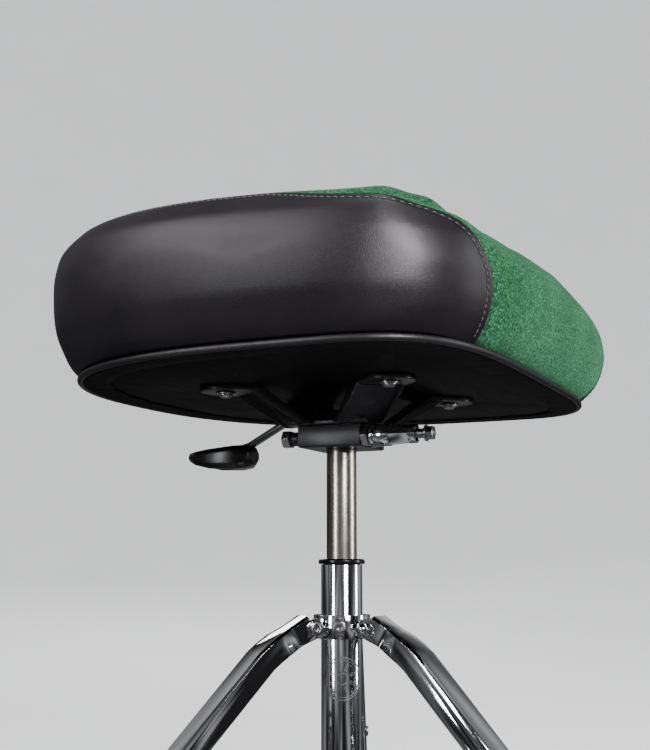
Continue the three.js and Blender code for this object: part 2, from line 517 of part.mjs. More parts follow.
// base tube
piece('base_tube', cyl(TUBE_R, TUBE_Z0, TUBE_Z1, 56).subtract(cyl(TUBE_R - TUBE_WALL, 0, 300, 48)), 'chrome');
piece('tube_bushing', turned([[14 + GAP, 195], [16.7, 195], [16.7, TUBE_Z1 + GAP], [21.4, TUBE_Z1 + GAP],
  [21.4, 263.7], [20.2, 264.9], [14 + GAP, 264.9], [14 + GAP, 195]], 40), 'plastic');
piece('tube_end_cap', cyl(TUBE_R - 0.2, 4, TUBE_Z0 - GAP, 40).add(cyl(16.7, 7, 22, 40))
  .subtract(cyl(5 + GAP, 9.7, 30, 24)), 'plastic');
piece('rod_nut', hexPrism(17, 22.3, 29.5).subtract(cyl(5 + GAP, 20, 32, 24)), 'steel');
const upper = collar(COLLAR, PIVOT, 8.4)
  .subtract(spinZ(alongX(cyl(3 + GAP, 15, 40, 20)).translate([0, 0, 203.9]), 200));
piece('upper_collar', upper, 'chrome');
piece('collar_clamp_screw', spinZ(alongX(cyl(3, 19.6, 30, 20).add(cyl(5.6, 26.4, 31.4, 24))
  .subtract(hexPrism(4.4, 28.6, 34))).translate([0, 0, 203.9]), 200), 'steel');
const lower = collar(FOOTC, PIN, 7.6)
  .subtract(spinZ(alongX(cyl(3 + GAP, 15, 40, 20)).translate([0, 0, 27]), 200));
piece('lower_collar', lower, 'chrome');
piece('lower_collar_screw', spinZ(alongX(cyl(3, 19.6, 29, 20).add(cyl(5.4, 25.9, 30.5, 24))
  .subtract(hexPrism(4.4, 28, 34))).translate([0, 0, 27]), 200), 'steel');

const legM = leg(), footM = foot(), braceM = brace();
LEG_AZ.forEach((az, i) => {
  const k = i + 1, arm = place(0, 0, 0, 0, rad(az));
  piece(`leg_${k}`, legM, 'chrome', arm);
  piece(`foot_${k}`, footM, 'rubber', arm);
  piece(`leg_bolt_${k}`, pivotBolt(), 'steel', arm);
  piece(`leg_cap_nut_${k}`, capNut(), 'chrome', arm);
  piece(`brace_${k}`, braceM, 'chrome', arm);
  piece(`brace_rivet_${k}`, rivet(16, BRACE_AT), 'steel', arm);
  piece(`brace_pin_${k}`, rivet(11.6, PIN), 'steel', arm);
});

export default group;
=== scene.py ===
"""Drum throne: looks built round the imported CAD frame.

Metres, Z up; the rider faces -Y and +X is their left.
"""
import json
import math

import bmesh
import bpy
import numpy as np
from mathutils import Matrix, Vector
from mathutils.bvhtree import BVHTree

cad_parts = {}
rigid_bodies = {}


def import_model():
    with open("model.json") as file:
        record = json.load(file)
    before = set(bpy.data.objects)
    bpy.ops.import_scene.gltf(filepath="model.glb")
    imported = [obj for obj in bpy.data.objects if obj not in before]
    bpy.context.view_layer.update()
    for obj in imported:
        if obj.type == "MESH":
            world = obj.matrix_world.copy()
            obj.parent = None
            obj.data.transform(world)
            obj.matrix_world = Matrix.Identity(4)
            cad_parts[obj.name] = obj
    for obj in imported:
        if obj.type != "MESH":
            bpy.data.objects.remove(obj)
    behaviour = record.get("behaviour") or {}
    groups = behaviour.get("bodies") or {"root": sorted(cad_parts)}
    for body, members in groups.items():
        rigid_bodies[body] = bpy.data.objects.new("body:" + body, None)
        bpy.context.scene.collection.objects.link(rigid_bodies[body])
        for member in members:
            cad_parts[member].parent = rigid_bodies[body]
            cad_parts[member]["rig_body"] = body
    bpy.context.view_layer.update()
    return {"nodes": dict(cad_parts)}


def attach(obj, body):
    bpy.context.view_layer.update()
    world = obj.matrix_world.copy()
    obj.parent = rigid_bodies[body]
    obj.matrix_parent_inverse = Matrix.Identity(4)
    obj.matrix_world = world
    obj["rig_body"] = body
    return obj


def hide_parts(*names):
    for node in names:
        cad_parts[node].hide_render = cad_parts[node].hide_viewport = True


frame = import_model()
nodes = frame["nodes"]
MM = 0.001

# ---------------------------------------------------------------- seat form, in millimetres
HALF_W, FRONT, REAR, MID_Y = 253.7, 147.9, 263.8, -43.9
FRONT_POWER, REAR_POWER = 4.43, 2.47
SKIRT_Z = 423.7
BOARD_Z, BOARD_T, BOARD_IN = 419.0, 12.0, 5.0
RISE = 125.0
DISH = 11.0
PIPE_R = 3.0
# crest of the edge, by distance forward of the column; and how much lower it is along the front,
# by distance from the middle
CREST = [(-235, 562.6), (-150, 552.9), (-50, 548.3), (50, 543.8), (120, 539.4), (170, 542.2), (215, 540.9)]
DIP = [(0, 0), (60, 3.9), (110, 7.6), (160, 12.6), (184, 8.2), (208, 2.2), (232, 2.2), (260, 3.4)]
# swell of the cheek over the outline, by share of its height: round the sides and rear, and at the front
SIDE = [(0, 0), (.07, 9.5), (.16, 16), (.3, 22.8), (.45, 25.3), (.6, 26), (.75, 23.2), (.87, 12.5),
        (.95, -3.3), (1, -30)]
NOSE = [(0, 0), (.07, 9.7), (.16, 17.9), (.3, 24.5), (.45, 27.8), (.6, 25.5), (.75, 15.5), (.87, -7.2),
        (.95, -16), (1, -41.5)]
# hem of the vinyl band: share of the cheek's height, by distance round from the front centre
HEM_AT = [(173, 0), (180.5, .105), (184.3, .22), (188.2, .36), (194.5, .495), (203.5, .635), (214, .73),
          (235, .803), (255, .832), (300, .882), (354, .928), (460, .935)]
HEM_STEP = 2.6                                       # between points of the hem's path
STITCH_IN, STITCH_PITCH = 6.0, 5.2
# axis of the fore-and-aft bolt, and the bore of the sleeve that turns on it
BOLT_X, BOLT_Z, SLEEVE_BORE = -22, 375.7, 4.75
# welds round the hub block
WELD_X, WELD_Y, WELD_Z = 30.2, 31.2, 386.6
TUBE_R = 19.05


def monotone(xs, ys):
    """Smooth curve through the points that never overshoots them; the ends run on flat."""
    xs, ys = np.asarray(xs, float), np.asarray(ys, float)
    h, k = np.diff(xs), np.diff(ys) / np.diff(xs)
    m = np.zeros(len(xs))
    for i in range(1, len(xs) - 1):
        if k[i - 1] * k[i] > 0:
            w1, w2 = 2 * h[i] + h[i - 1], h[i] + 2 * h[i - 1]
            m[i] = (w1 + w2) / (w1 / k[i - 1] + w2 / k[i])
    m[0], m[-1] = k[0], k[-1]

    def f(x):
        x = np.clip(np.asarray(x, float), xs[0], xs[-1])
        i = np.clip(np.searchsorted(xs, x) - 1, 0, len(xs) - 2)
        t, d = (x - xs[i]) / h[i], h[i]
        return (1 + 2 * t) * (1 - t) ** 2 * ys[i] + t * (1 - t) ** 2 * d * m[i] \
            + t * t * (3 - 2 * t) * ys[i + 1] + t * t * (t - 1) * d * m[i + 1]
    return f


def smooth(x):
    x = np.clip(x, 0, 1)
    return x * x * (3 - 2 * x)


_t = np.arange(6000) / 6000 * 2 * np.pi + np.pi / 2
_c, _s = np.cos(_t), np.sin(_t)
_n = np.where(_s < 0, FRONT_POWER, REAR_POWER)
_ox = HALF_W * np.sign(_c) * np.abs(_c) ** (2 / _n)
_oy = MID_Y + np.where(_s < 0, FRONT, REAR) * np.sign(_s) * np.abs(_s) ** (2 / _n)
_ds = np.hypot(np.diff(np.append(_ox, _ox[0])), np.diff(np.append(_oy, _oy[0])))
_acc = np.concatenate([[0], np.cumsum(_ds)])
ROUND = _acc[-1]                                     # length of the outline


def plan(a):
    """Point and outward normal on the outline, a millimetres round from the rear centre by way of -X."""
    a = np.mod(a, ROUND)
    ax, ay = np.append(_ox, _ox[0]), np.append(_oy, _oy[0])
    x, y = np.interp(a, _acc, ax), np.interp(a, _acc, ay)
    d = 6.0
    p, q = np.mod(a + d, ROUND), np.mod(a - d, ROUND)
    tx = np.interp(p, _acc, ax) - np.interp(q, _acc, ax)
    ty = np.interp(p, _acc, ay) - np.interp(q, _acc, ay)
    L = np.hypot(tx, ty)
    return x, y, ty / L, -tx / L


crest, dip = monotone(*zip(*CREST)), monotone(*zip(*DIP))
side_d, nose_d = monotone(*zip(*SIDE)), monotone(*zip(*NOSE))
_h = np.linspace(0, 1, 400)
_cl = np.concatenate([[0], np.cumsum(np.hypot(np.diff(_h) * RISE, np.diff(side_d(_h))))])
CHEEK_LEN = _cl[-1]


def rise_at(b):
    return np.interp(b, _cl, _h)


def cheek(a, b, out=0.0):
    """Points b millimetres up the side of the cushion, out proud of it; and the outward directions."""
    x, y, nx, ny = plan(a)
    w = smooth((-ny - 0.35) / 0.5)
    h = rise_at(b)

    def swell_at(k):
        return side_d(k) * (1 - w) + nose_d(k) * w
    e = 0.012
    lo, hi = np.clip(h - e, 0, 1), np.clip(h + e, 0, 1)
    dh, dd = (hi - lo) * RISE, swell_at(hi) - swell_at(lo)
    L = np.hypot(dh, dd) + 1e-9
    nd, nh = dh / L, -dd / L
    d = swell_at(h)
    z = SKIRT_Z + h * (crest(-y) - dip(np.abs(x)) * w - SKIRT_Z)
    n = np.stack([nx * nd, ny * nd, nh * np.ones_like(nx)], -1)
    return np.stack([x + nx * d, y + ny * d, z], -1) + n * np.asarray(out)[..., None], n


def top_z(x, y, low=0.0):
    r2 = (x / 215) ** 2 + ((y - 20) / 190) ** 2
    return crest(-y) - DISH * np.maximum(0, 1 - r2) ** 1.4 - low


_hem = np.array(HEM_AT)
_hem_s = np.concatenate([[0], np.cumsum(np.hypot(np.diff(_hem[:, 0]), np.diff(_hem[:, 1]) * RISE))])
_hem_u = np.linspace(0, _hem_s[-1], 1200)
_hem_arc, _hem_h = monotone(_hem_s, _hem[:, 0])(_hem_u), monotone(_hem_s, _hem[:, 1])(_hem_u)
_hem_b = np.interp(_hem_h, _h, _cl)


def seam_b(a):
    """Height of the band's hem up the cheek."""
    arc = np.abs(np.mod(a, ROUND) - ROUND / 2)
    return np.where(arc < HEM_AT[0][0], 0.0, np.interp(arc, _hem_arc, _hem_b))


# ---------------------------------------------------------------- mesh helpers
def new_object(name, verts, faces, smooth_faces=True, scale=MM):
    me = bpy.data.meshes.new(name)
    me.from_pydata([tuple(float(c) * scale for c in v) for v in verts], [], faces)
    me.validate()
    if smooth_faces:
        me.polygons.foreach_set("use_smooth", [True] * len(me.polygons))
    ob = bpy.data.objects.new(name, me)
    bpy.context.scene.collection.objects.link(ob)
    return ob


def outward(ob):
    bm = bmesh.new()
    bm.from_mesh(ob.data)
    bmesh.ops.recalc_face_normals(bm, faces=bm.faces)
    bm.to_mesh(ob.data)
    bm.free()
    return ob


def grid_faces(rows, cols, wrap_rows=False, wrap_cols=False, base=0):
    """Quads over vertices laid out row by row."""
    out = []
    for i in range(rows if wrap_rows else rows - 1):
        for j in range(cols if wrap_cols else cols - 1):
            a, b = i % rows, (i + 1) % rows
            c, d = j % cols, (j + 1) % cols
            out.append((base + a * cols + c, base + a * cols + d, base + b * cols + d, base + b * cols + c))
    return out


def apply_mods(ob):
    dg = bpy.context.evaluated_depsgraph_get()
    me = bpy.data.meshes.new_from_object(ob.evaluated_get(dg))
    ob.modifiers.clear()
    old, ob.data = ob.data, me
    me.name = old.name
    bpy.data.meshes.remove(old)
    return ob


def sharp_by_angle(ob, deg=35):
    ob.data.set_sharp_from_angle(angle=math.radians(deg))


def lathe(name, profile, seg=72, origin=(0, 0, 0), axis="z", closed=True):
    """Turned piece: profile of (radius, height) in millimetres round the given axis through origin."""
    prof = np.array(profile, float)
    w = np.arange(seg) / seg * 2 * np.pi
    r, h = prof[:, 0][:, None], prof[:, 1][:, None] * np.ones(seg)
    c, s = r * np.cos(w), r * np.sin(w)
    if axis == "z":
        v = np.stack([c, s, h], -1)
    elif axis == "x":
        v = np.stack([h, c, s], -1)
    else:                                            # along -y
        v = np.stack([c, -h, s], -1)
    v = v + np.array(origin, float)
    ob = new_object(name, v.reshape(-1, 3), grid_faces(len(prof), seg, wrap_rows=closed, wrap_cols=True))
    return outward(ob)


# ---------------------------------------------------------------- materials
class Graph:
    """A node material under construction."""

    def __init__(self, name, **sockets):
        self.mat = bpy.data.materials.new(name)
        self.mat.use_nodes = True
        self.nt = self.mat.node_tree
        self.bsdf = self.nt.nodes["Principled BSDF"]
        for k, v in sockets.items():
            self.bsdf.inputs[k.replace("_", " ")].default_value = v
        self.object = self.node("ShaderNodeTexCoord").outputs["Object"]

    def node(self, kind, inputs=None, **props):
        n = self.nt.nodes.new(kind)
        for k, v in props.items():
            setattr(n, k, v)
        for k, v in (inputs or {}).items():
            s = n.inputs[k]
            if isinstance(v, bpy.types.NodeSocket):
                self.nt.links.new(v, s)
            else:
                s.default_value = v
        return n

    def math(self, op, a, b=0.0, c=0.0):
        return self.node("ShaderNodeMath", {0: a, 1: b, 2: c}, operation=op).outputs[0]

    def scaled(self, x, y, z, vector=None):
        inputs = {"Vector": vector or self.object, "Scale": (x, y, z)}
        return self.node("ShaderNodeMapping", inputs).outputs[0]

    def noise(self, scale, detail=2.0, vector=None, rough=0.5):
        inputs = {"Vector": vector or self.object, "Scale": scale, "Detail": detail, "Roughness": rough}
        return self.node("ShaderNodeTexNoise", inputs).outputs["Fac"]

    def ramp(self, fac, *stops):
        n = self.node("ShaderNodeValToRGB", {"Fac": fac})
        el = n.color_ramp.elements
        while len(el) < len(stops):
            el.new(0.5)
        for e, (p, c) in zip(el, stops):
            e.position = p
            e.color = (*c, 1) if hasattr(c, "__len__") else (c, c, c, 1)
        return n.outputs["Color"]

    def span(self, fac, lo, hi, a, b):
        return self.node("ShaderNodeMapRange", {"Value": fac, "From Min": lo, "From Max": hi, "To Min": a,
                                                "To Max": b}).outputs[0]

    def mix(self, fac, a, b, mode="MIX"):
        n = self.node("ShaderNodeMix", data_type="RGBA", blend_type=mode)
        for s, v in ((n.inputs[0], fac), (n.inputs[6], a), (n.inputs[7], b)):
            if isinstance(v, bpy.types.NodeSocket):
                self.nt.links.new(v, s)
            else:
                s.default_value = (*v, 1) if hasattr(v, "__len__") else v
        return n.outputs[2]

    def bump(self, height, distance, strength=1.0, normal=None):
        ins = {"Height": height, "Distance": distance, "Strength": strength}
        if normal is not None:
            ins["Normal"] = normal
        return self.node("ShaderNodeBump", ins).outputs["Normal"]

    def set(self, **sockets):
        for k, v in sockets.items():
            self.nt.links.new(v, self.bsdf.inputs[k.replace("_", " ")])
        return self


def make_velour():
    g = Graph("velour", Roughness=0.95, Sheen_Weight=0.22, Sheen_Roughness=0.5,
              Sheen_Tint=(0.45, 0.85, 0.58, 1), Specular_IOR_Level=0.12)
    # knit of small tufts, wider than they are tall, in loose level rows
    drift = g.node("ShaderNodeTexNoise", {"Vector": g.object, "Scale": 55.0, "Detail": 2.0}).outputs["Color"]
    sway = g.node("ShaderNodeVectorMath", {0: drift, 1: (0.0016, 0.0016, 0.0016)}, operation="MULTIPLY")
    place = g.node("ShaderNodeVectorMath", {0: g.object, 1: sway.outputs[0]}, operation="ADD")
    vec = g.scaled(400, 400, 520, place.outputs[0])
    tuft = g.node("ShaderNodeTexVoronoi", {"Vector": vec, "Scale": 1.0, "Randomness": 0.8})
    h = g.span(tuft.outputs["Distance"], 0.08, 0.85, 1.0, 0.0)
    lone = g.node("ShaderNodeSeparateColor", {"Color": tuft.outputs["Color"]}).outputs[0]
    fine = g.noise(1300, 3, rough=0.6)
    nap = g.noise(26, 3, rough=0.6)
    h = g.math("MULTIPLY", h, g.span(lone, 0.0, 1.0, 0.55, 1.0))
    h = g.math("ADD", h, g.math("MULTIPLY", fine, 0.45))
    # colour by tuft height: darker deep between the tufts as painted shade, lighter on their tips as painted
    # highlight, with the nap's slow random tone added
    painted_shade_and_nap = g.math("ADD", g.math("MULTIPLY", h, 0.62), g.math("MULTIPLY", nap, 0.26))
    col = g.ramp(painted_shade_and_nap, (0.24, (0.0022, 0.021, 0.0078)), (0.47, (0.013, 0.078, 0.031)),
                 (0.68, (0.042, 0.160, 0.074)), (0.90, (0.16, 0.36, 0.215)))
    return g.set(Base_Color=col, Normal=g.bump(h, 0.0008, 0.85)).mat


def make_vinyl(name="vinyl", base=(0.0065, 0.0055, 0.0068), rough=0.40):
    g = Graph(name, Specular_IOR_Level=0.42)
    cells = g.node("ShaderNodeTexVoronoi", {"Vector": g.object, "Scale": 950.0, "Randomness": 1.0},
                   feature="DISTANCE_TO_EDGE").outputs["Distance"]
    grain = g.span(cells, 0.0, 0.16, 0.0, 1.0)
    soft = g.noise(150, 3)
    cloud = g.noise(9, 3)
    col = g.mix(g.span(cloud, 0.35, 0.65, 0.0, 1.0), base, tuple(c * 1.5 + 0.001 for c in base))
    r = g.math("ADD", g.span(cloud, 0.3, 0.7, rough - 0.03, rough + 0.06), g.math("MULTIPLY", grain, -0.05))
    h = g.math("ADD", g.math("MULTIPLY", grain, 0.7), g.math("MULTIPLY", soft, 0.6))
    return g.set(Base_Color=col, Roughness=r, Normal=g.bump(h, 0.00010, 0.7)).mat


def make_metal(name, dark, light, rough, streak=None, smudge=0.05, bump=0.0):
    """Bare or plated metal; streak scales its fine lay along each axis."""
    g = Graph(name, Metallic=1.0)
    lay = g.noise(1.0, 3, g.scaled(*(streak or (300, 300, 300))), 0.6)
    cloud = g.noise(14, 4, rough=0.6)
    col = g.mix(g.span(lay, 0.3, 0.7, 0.0, 1.0), dark, light)
    r = g.math("ADD", g.span(cloud, 0.35, 0.7, rough, rough + smudge), g.math("MULTIPLY", lay, smudge * 0.6))
    return g.set(Base_Color=col, Roughness=r, Normal=g.bump(lay, bump or 0.00001, 0.35)).mat


def make_black(name="black_paint", rough=0.32, base=(0.0075, 0.0073, 0.0088), peel=0.00008):
    g = Graph(name, Specular_IOR_Level=0.5, Coat_Weight=0.25, Coat_Roughness=0.22)
    orange = g.noise(420, 2)
    cloud = g.noise(16, 4, rough=0.62)
    dust = g.noise(900, 4, rough=0.7)
    col = g.mix(g.span(cloud, 0.35, 0.7, 0.0, 1.0), base, tuple(c * 1.8 + 0.002 for c in base))
    r = g.math("ADD", g.span(cloud, 0.3, 0.7, rough - 0.03, rough + 0.08), g.math("MULTIPLY", dust, 0.05))
    return g.set(Base_Color=col, Roughness=r, Normal=g.bump(orange, peel, 0.6)).mat


def make_rubber():
    g = Graph("rubber", Specular_IOR_Level=0.35)
    fine, cloud = g.noise(1400, 3), g.noise(26, 3)
    col = g.mix(g.span(cloud, 0.3, 0.7, 0.0, 1.0), (0.011, 0.011, 0.0115), (0.024, 0.024, 0.024))
    r = g.span(cloud, 0.3, 0.7, 0.62, 0.8)
    return g.set(Base_Color=col, Roughness=r, Normal=g.bump(fine, 0.0001, 0.6)).mat


def make_board():
    g = Graph("board", Specular_IOR_Level=0.14)
    ply = g.noise(1.0, 4, g.scaled(18, 120, 700), 0.6)
    fine = g.noise(700, 3)
    col = g.mix(g.span(ply, 0.3, 0.7, 0.0, 1.0), (0.0035, 0.0034, 0.0034), (0.0062, 0.006, 0.0059))
    h = g.math("ADD", g.math("MULTIPLY", ply, 0.6), g.math("MULTIPLY", fine, 0.5))
    r = g.span(ply, 0.3, 0.7, 0.5, 0.6)
    return g.set(Base_Color=col, Roughness=r, Normal=g.bump(h, 0.00008, 0.5)).mat


MAT = {
    "velour": make_velour(),
    "vinyl": make_vinyl(),
    "chrome": make_metal("chrome", (0.80, 0.805, 0.82), (0.87, 0.875, 0.885), 0.045, (500, 500, 60), 0.04),
    "nickel": make_metal("nickel", (0.44, 0.405, 0.365), (0.60, 0.565, 0.52), 0.20, (1400, 1400, 30), 0.10,
                         0.00002),
    "steel": make_metal("steel", (0.42, 0.42, 0.425), (0.60, 0.60, 0.61), 0.24, (700, 700, 700), 0.10),
    "black_paint": make_black(),
    "plastic": make_black("plastic", 0.24, (0.005, 0.005, 0.0055), 0.00004),
    "etched": make_metal("etched", (0.20, 0.20, 0.21), (0.34, 0.34, 0.35), 0.42, (900, 900, 900), 0.10),
    "rubber": make_rubber(),
    "board": make_board(),
}


def finish_with(ob, material):
    m = MAT[material] if isinstance(material, str) else material
    ob.data.materials.clear()
    ob.data.materials.append(m)
    return ob


# ---------------------------------------------------------------- cushion
COLS = 336
CHEEK_ROWS, TOP_ROWS = 46, 34


def blur(q, times):
    """Evens out a grid of values that wraps round its columns."""
    for _ in range(times):
        q = (q + np.roll(q, 1, 0) + np.roll(q, -1, 0)) / 3
        e = np.concatenate([q[:, :1], q, q[:, -1:]], 1)
        q = (e[:, :-2] + e[:, 1:-1] + e[:, 2:]) / 3
    return q


def cushion_grid(shrink):
    """Vertices column by column from the skirt up the cheek and in over the top."""
    a = np.arange(COLS) / COLS * ROUND
    b = CHEEK_LEN * np.linspace(0, 1, CHEEK_ROWS)
    A, B = np.meshgrid(a, b, indexing="ij")
    side, n = cheek(A, B, -shrink * np.ones_like(A))
    edge, _ = cheek(a, np.full(COLS, CHEEK_LEN))
    w = 1 - (1 - np.arange(1, TOP_ROWS + 1) / TOP_ROWS) ** 1.15
    X = edge[:, 0][:, None] * (1 - w)
    Y = (edge[:, 1][:, None] - MID_Y) * (1 - w) + MID_Y
    ox, _, _, oy = plan(a)
    low = (dip(np.abs(ox)) * smooth((-oy - 0.35) / 0.5))[:, None] * (1 - w) ** 3
    Z = top_z(X, Y, low)
    ease_in = smooth(np.arange(TOP_ROWS) / 7.0)
    Z = Z * (1 - ease_in) + blur(Z[..., None], 90)[..., 0] * ease_in
    top = np.stack([X, Y, Z - shrink], -1)
    return np.concatenate([side, top], 1), A, B


def cushion_faces(rows, centre):
    """Skin of a cushion: its grid, a fan to the pole on top, two rings below and a fan to their centre."""
    faces = [tuple(reversed(f)) for f in grid_faces(COLS, rows, wrap_rows=True)]
    pole = COLS * rows
    for i in range(COLS):
        j = (i + 1) % COLS
        faces.append((i * rows + rows - 1, j * rows + rows - 1, pole))
        t, u = pole + 1 + i, pole + 1 + j
        faces.append((i * rows, t, u, j * rows))
        faces.append((t, t + COLS, u + COLS, u))
        faces.append((t + COLS, centre, u + COLS))
    return faces


def closed_cushion(name, shrink):
    grid, _, _ = cushion_grid(shrink)
    rows = grid.shape[1] - 1                         # the last row is the pole
    x, y, nx, ny = plan(np.arange(COLS) / COLS * ROUND)
    low = SKIRT_Z - 1.5
    rim = np.stack([x - nx * 6, y - ny * 6, np.full(COLS, low)], -1)
    inner = np.stack([x * 0.6, (y - MID_Y) * 0.6 + MID_Y, np.full(COLS, low)], -1)
    pole = [[0, MID_Y, top_z(0.0, MID_Y) - shrink]]
    v = np.concatenate([grid[:, :rows].reshape(-1, 3), pole, rim, inner, [[0, MID_Y, low]]])
    return outward(new_object(name, v, cushion_faces(rows, len(v) - 1)))


def puffed():
    """Cloth run on a remeshed copy; gives a function for its swelling in mm, and how much smaller it began."""
    shrink = 3.0
    ob = closed_cushion("swell", shrink)
    rm = ob.modifiers.new("r", "REMESH")
    rm.mode, rm.voxel_size, rm.use_smooth_shade = "VOXEL", 0.0055, True
    apply_mods(ob)
    me = ob.data
    before = np.array([v.co for v in me.vertices]) / MM
    pin = ob.vertex_groups.new(name="pin")
    for v in me.vertices:
        z = v.co.z / MM
        if z < SKIRT_Z + 4:
            pin.add([v.index], 1.0, "REPLACE")
    cl = ob.modifiers.new("c", "CLOTH")
    s = cl.settings
    s.use_pressure, s.uniform_pressure_force = True, 4.0
    s.effector_weights.gravity = 0
    s.vertex_group_mass = "pin"
    s.quality = 6
    s.tension_stiffness = s.compression_stiffness = 22
    s.shear_stiffness = 8
    s.bending_stiffness = 2.5
    cl.collision_settings.use_collision = False
    sc = bpy.context.scene
    sc.frame_start, sc.frame_end = 1, 20
    for f in range(1, 21):
        sc.frame_set(f)
    apply_mods(ob)
    after = np.array([v.co for v in ob.data.vertices]) / MM
    sc.frame_set(1)
    move = after - before
    size = np.linalg.norm(move, axis=1)
    cap = 9.0
    move *= np.minimum(1, cap / np.maximum(size, 1e-6))[:, None]
    tris = [p.vertices[:] for p in ob.data.polygons]
    tree = BVHTree.FromPolygons([Vector(p) for p in before], tris)
    bpy.data.objects.remove(ob)

    def at(points):
        out = np.zeros((len(points), 3))
        for k, p in enumerate(points):
            hit, _, fi, _ = tree.find_nearest(Vector(p))
            ids = list(tris[fi])
            d = np.linalg.norm(before[ids] - np.array(hit), axis=1) + 1e-6
            w = 1 / d
            out[k] = (move[ids] * (w / w.sum())[:, None]).sum(0)
        return out
    return at, shrink


grid_true, A, B = cushion_grid(0.0)
swell, shrunk = puffed()
small, *_ = cushion_grid(shrunk)
d = swell(small.reshape(-1, 3)).reshape(small.shape)
lift = blur(small + d - grid_true, 10)
# the cover is pulled to its true form, and keeps the cloth's own slight unevenness
lift = lift - blur(lift, 160)
size = np.linalg.norm(lift, axis=-1, keepdims=True)
lift *= 0.6 * np.minimum(1.0, 0.7 / np.maximum(size, 1e-6))
print("cloth unevenness mm: mean %.2f max %.2f" % (size.mean(), size.max()))


def swollen(points, a, b):
    """Adds the cushion's swelling to points of the cheek at (a, b)."""
    ia = np.mod(a, ROUND) / ROUND * COLS
    ib = np.clip(b / CHEEK_LEN, 0, 1) * (CHEEK_ROWS - 1)
    i0, j0 = np.floor(ia).astype(int), np.clip(np.floor(ib).astype(int), 0, CHEEK_ROWS - 2)
    fa, fb = (ia - i0)[..., None], (ib - j0)[..., None]
    i0, i1 = i0 % COLS, (i0 + 1) % COLS
    s = (lift[i0, j0] * (1 - fa) + lift[i1, j0] * fa) * (1 - fb) \
        + (lift[i0, j0 + 1] * (1 - fa) + lift[i1, j0 + 1] * fa) * fb
    return points + s


def make_cushion():
    S = seam_b(A)
    under = np.where(S > 1, smooth((S - 2.5 - B) / 5.0), 0.0)      # sunk where the band lies over it
    side, _ = cheek(A, B, -2.4 * under)
    top = grid_true[:, CHEEK_ROWS:] + lift[:, CHEEK_ROWS:]
    grid = np.concatenate([side + lift[:, :CHEEK_ROWS], top], 1)
    rows = grid.shape[1] - 1                         # the last row is the pole
    x, y, nx, ny = plan(np.arange(COLS) / COLS * ROUND)
    floor = BOARD_Z + BOARD_T + 0.3                  # just over the board
    tuck = np.stack([x - nx * 3.5, y - ny * 3.5, np.full(COLS, SKIRT_Z - 0.6)], -1)
    rim = np.stack([x - nx * 4.7, y - ny * 4.7, np.full(COLS, floor)], -1)
    v = np.concatenate([grid[:, :rows].reshape(-1, 3), grid[:1, rows], tuck, rim, [[0, MID_Y, floor]]])
    return outward(new_object("seat_cover", v, cushion_faces(rows, len(v) - 1)))


cover = make_cushion()
finish_with(cover, "velour")
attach(cover, "seat")
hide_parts("seat_cushion")


def seam_path():
    """Hem of the band as (a, b) points, from the front right skirt round the rear to the front left."""
    right = np.stack([ROUND / 2 - _hem_arc, _hem_b], 1)
    n = int(right[-1, 0] / 2.5)
    rear = np.stack([np.linspace(right[-1, 0], 0, n + 1)[1:], np.full(n, right[-1, 1])], 1)
    half = np.concatenate([right, rear])
    return np.concatenate([half, np.stack([-half[::-1, 0], half[::-1, 1]], 1)[1:]])


def resample(p, step):
    d = np.concatenate([[0], np.cumsum(np.hypot(*np.diff(p, axis=0).T))])
    n = max(2, int(round(d[-1] / step)))
    s = np.linspace(0, d[-1], n + 1)
    return np.stack([np.interp(s, d, p[:, k]) for k in (0, 1)], 1)


def inward(p):
    """Unit normals of a hem path, towards the band."""
    t = np.gradient(p, axis=0)
    for _ in range(3):
        t = np.concatenate([t[:1], (t[:-2] + t[1:-1] + t[2:]) / 3, t[-1:]])
    t /= np.linalg.norm(t, axis=1, keepdims=True)
    n = np.stack([t[:, 1], -t[:, 0]], 1)
    return n if n[len(n) // 2][1] < 0 else -n


HEM = resample(seam_path(), HEM_STEP)
HEM_N = inward(HEM)


def band_offset(dist):
    """How far the band stands proud of the cushion, by distance in from its hem."""
    roll = np.sqrt(np.clip(1 - (1 - np.clip(dist / 1.3, 0, 1)) ** 2, 0, 1))
    fold = 0.55 * (1 - smooth((dist - 7.5) / 4))     # the hem is turned under
    groove = 0.75 * np.exp(-((dist - STITCH_IN) / 1.15) ** 2)
    return -0.7 + roll * (1.2 + 0.8 * fold) - groove


